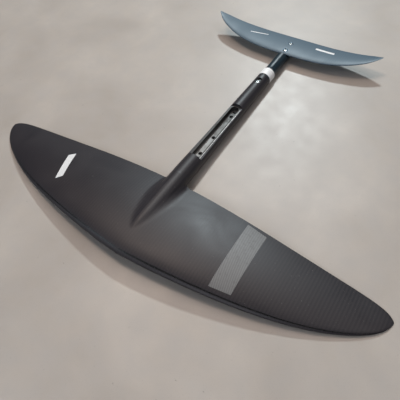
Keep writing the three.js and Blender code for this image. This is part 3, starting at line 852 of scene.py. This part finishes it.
# ---- screws and washers ----
def hexagon(radius):
    """Radius of a hexagon with that inner radius, as a function of the angle."""
    def at(angle):
        return radius / math.cos((angle % (math.pi / 3)) - math.pi / 6)
    return at


def thread(mean, height):
    """Radius of a screw thread at a height, as a function of the angle."""
    def at(angle):
        phase = (height / THREAD_PITCH - angle / (2 * math.pi)) % 1
        return mean + THREAD_DEPTH * (abs(2 * phase - 1) - 0.5)
    return at


def threaded_shaft(tip_z, head_z):
    """Outline of a screw's shaft: its point, its thread and the plain neck under the head."""
    steps = 8  # in each turn of the thread
    core = SCREW_RADIUS - THREAD_DEPTH / 2
    outline = [(tip_z, core - SCREW_POINT), (tip_z + SCREW_POINT, core - SCREW_SLACK)]
    turns = int((head_z - tip_z - THREAD_START - THREAD_END) / THREAD_PITCH)
    for i in range(turns * steps + 1):
        z = tip_z + THREAD_START + i * THREAD_PITCH / steps
        outline.append((z, thread(core, z)))
    return outline + [(head_z - SCREW_NECK, SCREW_RADIUS - SCREW_SLACK), (head_z, SCREW_RADIUS)]


def button_head(z):
    """Outline of a screw's domed head on height z, and down into its hexagon socket."""
    dome_steps = 6
    side_z = z + SCREW_HEAD_SIDE
    crown_z = z + SCREW_HEAD_HEIGHT
    shoulder = SCREW_HEAD_RADIUS - SCREW_SOCKET_RADIUS - SCREW_SOCKET_RIM
    outline = [(z, SCREW_HEAD_RADIUS - SCREW_HEAD_BEVEL), (z + SCREW_HEAD_BEVEL, SCREW_HEAD_RADIUS)]
    for i in range(dome_steps + 1):
        angle = math.pi / 2 * i / dome_steps
        outline.append((side_z + (crown_z - side_z) * math.sin(angle),
                        SCREW_HEAD_RADIUS - shoulder * (1 - math.cos(angle))))
    socket = hexagon(SCREW_SOCKET_RADIUS)
    return outline + [(crown_z, hexagon(SCREW_SOCKET_RADIUS + SCREW_HEAD_BEVEL)),
                      (crown_z - SCREW_HEAD_BEVEL, socket), (z + SCREW_SOCKET_FLOOR, socket)]


def screw(name, body, node, y, washer_z, length, material):
    head_z = washer_z + WASHER_THICKNESS + SCREW_SLACK
    outline = threaded_shaft(head_z - length, head_z) + button_head(head_z)
    finish_piece(upright_body(name, y, outline, segments=60), body, material, "steel", node)


def washer(name, body, node, y, z, material):
    inner = SCREW_RADIUS + WASHER_CLEARANCE
    outer = WASHER_RADIUS
    top = z + WASHER_THICKNESS
    bevel = WASHER_BEVEL
    ring = upright_body(name, y, [
        (z, inner + bevel), (z, outer - bevel), (z + bevel, outer), (top - bevel, outer),
        (top, outer - bevel), (top, inner + bevel), (top - bevel, inner), (z + bevel, inner)],
        closed=True)
    finish_piece(ring, body, material, "steel", node)


def fasteners(material, bush_material):
    """Lock screw and stabilizer screws with their washers, and the stabilizer's bushes."""
    lock_z = LOCK_RECESS_Z + GAP
    washer("lock_washer_ring", "lock_screw_washer", "lock_washer", LOCK_SCREW_Y, lock_z, material)
    screw("lock_screw_body", "lock_screw", "lock_screw", LOCK_SCREW_Y, lock_z, LOCK_SCREW_LENGTH,
          material)
    stab_z = STAB_TOP_Z - STAB_BUSH_STEP + GAP
    for place, y in STAB_SCREW_Y.items():
        name = f"stab_screw_{place}"
        stab_bush(place, y, bush_material)
        washer(f"stab_washer_ring_{place}", f"{name}_washer", f"stab_washer_{place}", y, stab_z,
               material)
        screw(f"{name}_body", name, name, y, stab_z, STAB_SCREW_LENGTH, material)


# ---- printed marks ----
def top_point(surface, x, y):
    """Point on top of a wing surface at a place given in plan."""
    halvings = 24
    low, high = 0.0, 1.0
    for _ in range(halvings):
        middle = (low + high) / 2
        if surface(x, middle, 1).y < y:
            low = middle
        else:
            high = middle
    return surface(x, (low + high) / 2, 1)


def finely_stepped(outline):
    """The same closed outline with its long sides divided, so that it can follow a surface."""
    stepped = []
    for here, there in zip(outline, outline[1:] + outline[:1]):
        steps = max(1, math.ceil((there - here).length / MARK_STEP))
        stepped += [here + (there - here) * (i / steps) for i in range(steps)]
    return stepped


def printed_patch(name, surface, corners, rounding, body, material):
    """Thin patch that hugs a surface, over a rounded outline given in plan."""
    ring_steps = 14
    innermost = 0.02
    outline = finely_stepped(rounded_outline(corners, rounding, steps=4))
    middle = sum((Vector(corner) for corner in corners), Vector((0, 0))) / len(corners)
    top = []
    bottom = []
    for k in range(ring_steps + 1):
        share = 1 - (1 - innermost) * k / ring_steps
        spots = [middle + (spot - middle) * share for spot in outline]
        points = [top_point(surface, spot[0], spot[1]) for spot in spots]
        top.append([raised(point, MARK_LIFT) for point in points])
        bottom.append([raised(point, -MARK_DEPTH) for point in points])
    patch = loft(name, list(reversed(bottom)) + top)
    finish_piece(patch, body, material, "white_tape")


# ---- materials ----
class Nodes:
    """A node tree under construction."""

    def __init__(self, tree):
        self.tree = tree

    def add(self, kind, inputs=None, **settings):
        node = self.tree.nodes.new(kind)
        for key, value in settings.items():
            setattr(node, key, value)
        for key, value in (inputs or {}).items():
            self.feed(node.inputs[key], value)
        return node

    def feed(self, socket, value):
        if isinstance(value, bpy.types.NodeSocket):
            self.tree.links.new(value, socket)
        else:
            socket.default_value = value

    def math(self, operation, a, b=0.0):
        return self.add("ShaderNodeMath", {0: a, 1: b}, operation=operation).outputs[0]

    def wave(self, value, pitch):
        """Sine of a length, repeating at a pitch."""
        return self.math("SINE", self.math("MULTIPLY", value, 2 * math.pi / pitch))

    def split(self, vector):
        return self.add("ShaderNodeSeparateXYZ", {0: vector}).outputs

    def spread(self, value, low, high, new_low=0, new_high=1):
        """A value between low and high, stretched to a new range."""
        inputs = {"Value": value, "From Min": low, "From Max": high, "To Min": new_low,
                  "To Max": new_high}
        return self.add("ShaderNodeMapRange", inputs).outputs[0]

    def mix(self, factor, a, b):
        return self.add("ShaderNodeMix", {0: factor, 6: a, 7: b}, data_type="RGBA").outputs[2]


class Look(Nodes):
    """A material under construction, around one Principled shader."""

    def __init__(self, name, roughness, metallic=0.0):
        self.material = bpy.data.materials.new(name)
        self.material.use_nodes = True
        super().__init__(self.material.node_tree)
        self.tree.nodes.clear()
        self.shader = self.add("ShaderNodeBsdfPrincipled", {"Roughness": roughness,
                                                            "Metallic": metallic})
        self.add("ShaderNodeOutputMaterial", {"Surface": self.shader.outputs[0]})
        self.place = self.add("ShaderNodeTexCoord").outputs["Object"]

    def noise(self, scale, detail=4.0, stretch=(1, 1, 1), distortion=0.0):
        mapping = self.add("ShaderNodeMapping", {"Vector": self.place, "Scale": stretch})
        inputs = {"Vector": mapping.outputs[0], "Scale": scale, "Detail": detail,
                  "Distortion": distortion}
        return self.add("ShaderNodeTexNoise", inputs).outputs["Fac"]

    def bump(self, height, distance, strength=1.0):
        inputs = {"Height": height, "Distance": distance, "Strength": strength}
        return self.add("ShaderNodeBump", inputs).outputs[0]

    def finished(self, colour, **sockets):
        """The material, once its colour and some other sockets of its shader are fed."""
        for key, value in {"Base Color": colour, **sockets}.items():
            self.feed(self.shader.inputs[key], value)
        return self.material


def grey(value, warmth=0.0):
    return (value * (1 + warmth), value, value * (1 - warmth), 1.0)


def twill(look):
    """Two-by-two twill weave of flat tows: which tow is on top, and the height of the cloth."""
    x, y, _ = look.split(look.place)
    across = look.math("DIVIDE", look.math("ADD", x, y), TOW_WIDTH)
    along = look.math("DIVIDE", look.math("SUBTRACT", x, y), TOW_WIDTH)
    cells = look.math("ADD", look.math("FLOOR", across), look.math("FLOOR", along))
    on_top = look.math("LESS_THAN", look.math("FLOORED_MODULO", cells, 4.0), 2.0)
    first = look.math("ABSOLUTE", look.wave(across, 2))
    second = look.math("ABSOLUTE", look.wave(along, 2))
    choice = look.add("ShaderNodeMix", {0: on_top, 2: first, 3: second}, data_type="FLOAT")
    return on_top, choice.outputs[0]


def carbon(name, dark, light, roughness):
    """Satin lacquered carbon cloth with faint smudges and dust."""
    look = Look(name, roughness)
    on_top, height = twill(look)
    smudge = look.noise(14, 5, distortion=0.6)
    fine = look.noise(900, 2)
    speck = look.spread(look.noise(420, 2), 0.70, 0.78, 0, 0.5)
    cloth = look.mix(look.math("MULTIPLY", on_top, 0.5), dark, light)
    cloth = look.mix(look.spread(smudge, 0.3, 0.7, 0, 0.25), cloth, light)
    cloth = look.mix(speck, cloth, grey(0.16, 0.04))
    rough = look.math("ADD", look.spread(smudge, 0.3, 0.7, roughness - 0.04, roughness + 0.05),
                      look.math("MULTIPLY", on_top, 0.03))
    relief = look.math("ADD", height, look.math("MULTIPLY", fine, 0.6))
    return look.finished(cloth, Roughness=rough, Normal=look.bump(relief, 0.00001, 0.6))


def turned_steel(name, dark, light):
    """Steel with fine turning marks and smudges."""
    look = Look(name, 0.25, 1.0)
    grain = look.noise(1400, 3, stretch=(1, 1, 6))
    smudge = look.noise(160, 3)
    colour = look.mix(look.spread(smudge, 0.35, 0.65), dark, light)
    return look.finished(colour, Roughness=look.spread(grain, 0.2, 0.8, 0.18, 0.36),
                         Normal=look.bump(grain, 0.00001, 0.4))


def aluminium_wear_and_painted_light():
    """Dark anodised lining with scratches, its floor grey in front and dark towards the rear as
    partly painted shade from the pocket's walls, and a painted highlight along its starboard rim.
    """
    look = Look("aluminium_wear_and_painted_light", 0.5, 0.6)
    x, y, z = look.split(look.place)
    scratch = look.noise(500, 4, stretch=(4, 0.35, 4))
    patch = look.noise(110, 5, stretch=(1, 0.5, 1))
    ragged_y = look.math("ADD", y, look.math("MULTIPLY", patch, 0.06))
    ragged_x = look.math("ADD", x, look.math("MULTIPLY", scratch, 0.0012))
    # floor lighter in front and darker towards the rear: partly painted shade from the pocket's walls
    rear = look.spread(ragged_y, *SOCKET_SHADE_Y)
    flange = look.spread(z, *FLANGE_FADE_Z)
    # painted highlight along the starboard rim only
    rim = look.spread(ragged_x, *RIM_HIGHLIGHT_X)
    colour = look.mix(rear, grey(0.2, 0.03), grey(0.05, 0.03))
    colour = look.mix(look.spread(scratch, 0.5, 0.8, 0, 0.5), colour, grey(0.3, 0.02))
    colour = look.mix(flange, colour, grey(0.05, 0.05))
    colour = look.mix(rim, colour, grey(0.75, 0.02))
    return look.finished(colour, Roughness=look.spread(patch, 0.3, 0.7, 0.38, 0.6),
                         Normal=look.bump(scratch, 0.00002, 0.5))


def printed(name, colour, roughness):
    """Ink or vinyl with a slightly uneven surface; also used for the painted dark reflection line
    along the nose.
    """
    look = Look(name, roughness)
    wear = look.noise(700, 4)
    tone = look.mix(look.spread(wear, 0.62, 0.78, 0, 0.5), colour, grey(0.25))
    rough = look.spread(wear, 0.2, 0.8, roughness - 0.08, roughness + 0.08)
    return look.finished(tone, Roughness=rough)


def hatched_print():
    """Grey panel of fine parallel lines across the wing."""
    look = Look("hatched_print", 0.5)
    x, y, _ = look.split(look.place)
    line = look.wave(look.math("ADD", x, y), HATCH_PITCH)
    wear = look.noise(220, 4)
    ink = look.mix(look.spread(line, -0.2, 0.2), grey(0.13), grey(0.2))
    tone = look.mix(look.spread(wear, 0.55, 0.75, 0, 0.4), ink, grey(0.09))
    return look.finished(tone, Roughness=look.spread(wear, 0.3, 0.7, 0.42, 0.55))


def label_paper():
    """White tape with faint printed rings and rubbed edges."""
    look = Look("label_paper", 0.5)
    _, y, _ = look.split(look.place)
    line = look.wave(y, LABEL_RING_PITCH)
    wear = look.noise(260, 5)
    tone = look.mix(look.spread(line, 0.9, 0.97, 0, 0.25), grey(0.92), grey(0.5))
    tone = look.mix(look.spread(wear, 0.62, 0.78, 0, 0.35), tone, grey(0.6, 0.03))
    return look.finished(tone, Roughness=look.spread(wear, 0.3, 0.7, 0.4, 0.6),
                         Normal=look.bump(wear, 0.00003, 0.5))


def foam():
    """Pale yellow foam with small closed cells."""
    look = Look("closed_cell_foam", 0.9)
    cells = look.add("ShaderNodeTexVoronoi", {"Vector": look.place, "Scale": 900.0})
    tone = look.mix(cells.outputs["Distance"], (0.78, 0.72, 0.5, 1), (0.6, 0.54, 0.36, 1))
    return look.finished(tone, Normal=look.bump(cells.outputs["Distance"], 0.0002))


def raw_laminate():
    """Uncoated carbon laminate with its plies showing on cut faces."""
    look = Look("raw_laminate", 0.6)
    _, _, z = look.split(look.place)
    plies = look.wave(z, PLY_THICKNESS)
    fibre = look.noise(700, 3, stretch=(1, 0.1, 1))
    tone = look.mix(look.spread(plies, -1, 1, 0, 0.6), grey(0.035), grey(0.075))
    return look.finished(tone, Roughness=look.spread(fibre, 0.3, 0.7, 0.5, 0.7),
                         Normal=look.bump(fibre, 0.00004))


def moulded_plastic():
    """Black plastic with a fine grain."""
    look = Look("moulded_plastic", 0.55)
    grain = look.noise(1500, 3)
    tone = look.mix(grain, grey(0.018), grey(0.035))
    return look.finished(tone, Roughness=look.spread(grain, 0.3, 0.7, 0.5, 0.65),
                         Normal=look.bump(grain, 0.00003))


def concrete():
    """Polished concrete with soft clouds, fine grains and a few pits."""
    look = Look("polished_concrete", 0.4)
    cloud = look.noise(6, 8, distortion=0.4)
    patch = look.noise(28, 6)
    grain = look.noise(600, 3)
    pits = look.noise(130, 2)
    tone = look.mix(look.spread(cloud, 0.3, 0.7), (0.41, 0.367, 0.326, 1),
                    (0.53, 0.482, 0.432, 1))
    tone = look.mix(look.spread(patch, 0.35, 0.7, 0, 0.5), tone, (0.44, 0.41, 0.385, 1))
    tone = look.mix(look.spread(grain, 0.6, 0.75, 0, 0.3), tone, (0.3, 0.26, 0.23, 1))
    tone = look.mix(look.spread(pits, 0.73, 0.79, 0, 0.6), tone, (0.22, 0.19, 0.17, 1))
    return look.finished(tone, Roughness=look.spread(patch, 0.3, 0.7, 0.40, 0.48),
                         Normal=look.bump(grain, 0.00005, 0.3))


# ---- floor, lights and camera ----
def add_floor():
    half_size = 3.0
    mesh = bpy.data.meshes.new("floor")
    mesh.from_pydata(level(rectangle(half_size, -half_size, half_size), 0), [], [(0, 1, 2, 3)])
    mesh.materials.append(concrete())
    add_object("floor", mesh)


def add_light(name, place, size, watts, colour):
    """Square soft light at a place, shining at the middle of the floor."""
    light = bpy.data.lights.new(name, "AREA")
    light.size = size
    light.energy = watts
    light.color = colour
    lamp = add_object(name, light)
    lamp.location = place
    lamp.rotation_euler = Vector(place).to_track_quat("Z", "Y").to_euler()


def toward(azimuth, elevation, distance):
    """Place at a bearing from aft towards starboard and a height, both in degrees."""
    bearing = math.radians(azimuth)
    height = math.radians(elevation)
    return distance * Vector((math.sin(bearing) * math.cos(height),
                              math.cos(bearing) * math.cos(height), math.sin(height)))


def add_lights():
    """A small cool key from behind, a warm one from port, and weak soft panels all round."""
    add_light("key", toward(-20, 43, 3.2), 0.2, 54, (0.82, 0.95, 1.0))
    add_light("key_port", toward(-80, 70, 2.6), 0.6, 19, (1.0, 0.82, 0.71))
    add_light("panel_back", toward(-14, 64, 2.4), 0.9, 10, (1.0, 0.90, 0.85))
    add_light("panel_front", toward(170, 30, 2.6), 1.0, 12, (0.88, 0.92, 1.0))
    add_light("panel_front_port", toward(-140, 35, 2.6), 1.0, 7, (0.80, 0.90, 1.0))
    add_light("fill_starboard", (1.0, 0.0, 1.5), 0.8, 3.5, (1.0, 0.95, 0.93))


def add_world():
    """Surroundings that fade from a cool glow near the horizon to dark overhead."""
    world = bpy.data.worlds.new("studio")
    world.use_nodes = True
    nodes = Nodes(world.node_tree)
    _, _, height = nodes.split(nodes.add("ShaderNodeTexCoord").outputs["Generated"])
    colour = nodes.mix(nodes.spread(height, 0.15, 0.6), (0.10, 0.13, 0.165, 1),
                       (0.022, 0.022, 0.026, 1))
    nodes.feed(nodes.tree.nodes["Background"].inputs["Color"], colour)
    bpy.context.scene.world = world


def add_camera():
    """Camera ahead of the wing and to starboard, looking down aft, slightly rolled."""
    back = toward(VIEW_BEARING, VIEW_ELEVATION, 1)
    right = (-back).cross(Vector((0, 0, 1))).normalized()
    up = right.cross(-back)
    turned_right = right * math.cos(VIEW_ROLL) + up * math.sin(VIEW_ROLL)
    turned_up = up * math.cos(VIEW_ROLL) - right * math.sin(VIEW_ROLL)
    camera = bpy.data.cameras.new("camera")
    camera.lens = LENS_MM
    stand = add_object("camera", camera)
    turn = Matrix((turned_right, turned_up, back)).transposed().to_4x4()
    stand.matrix_world = Matrix.Translation(VIEW_TARGET + back * VIEW_DISTANCE) @ turn
    bpy.context.scene.camera = stand


# ---- assembly ----
def dress_inner_nodes(materials):
    """Give the CAD nodes that stay their own materials."""
    finishes = {
        "laminate": ["wing_spar", "fuselage_core", "tail_sleeve", "stab_core"],
        "foam": ["wing_foam_port", "wing_foam_starboard"],
        "metal": ["spigot_plug", "tail_block"],
        "steel": ["lock_thread_insert", "stab_thread_insert_front", "stab_thread_insert_rear"],
    }
    for finish, names in finishes.items():
        for name in names:
            mesh = frame["nodes"][name].data
            mesh.materials.clear()
            mesh.materials.append(materials[finish])


def add_marks(white, hatching):
    """Plain printed shapes on the wing and stabilizer, without any lettering."""
    printed_patch("mark_port", wing_point, *WING_MARK, "foil", white)
    printed_patch("hatched_band", wing_point, *WING_BAND, "foil", hatching)
    printed_patch("dash_port", stab_point, *STAB_DASH_PORT, "stabilizer", white)
    printed_patch("dash_starboard", stab_point, *STAB_DASH_STARBOARD, "stabilizer", white)


add_camera()
add_floor()
add_lights()
add_world()
bpy.context.scene.view_settings.view_transform = "Standard"

steel = turned_steel("turned_steel", grey(0.26, 0.01), grey(0.4, 0.01))
blued_steel = turned_steel("blued_steel", (0.09, 0.14, 0.19, 1), (0.15, 0.21, 0.27, 1))
metal = aluminium_wear_and_painted_light()
shell_carbon = carbon("shell_carbon", (0.015, 0.013, 0.017, 1), (0.034, 0.028, 0.031, 1), 0.45)
tube_carbon = carbon("tube_carbon", (0.008, 0.018, 0.026, 1), (0.014, 0.032, 0.044, 1), 0.36)
tail_carbon = carbon("tail_carbon", (0.03, 0.065, 0.1, 1), (0.048, 0.095, 0.135, 1), 0.46)

wing_skin(shell_carbon)
# dark strip along the top of the nose: painted dark reflection
painted_nose_reflection(printed("painted_reflection_black", grey(0.006), 0.3))
mast_tray(metal)
mast_sleeves(steel)
tail_tube(tube_carbon)
label_ring(label_paper())
stab_skin(tail_carbon)
stab_shim(moulded_plastic())
fasteners(steel, blued_steel)
add_marks(printed("white_print", grey(0.8), 0.45), hatched_print())
dress_inner_nodes({"laminate": raw_laminate(), "foam": foam(), "metal": metal, "steel": steel})

bpy.context.view_layer.update()
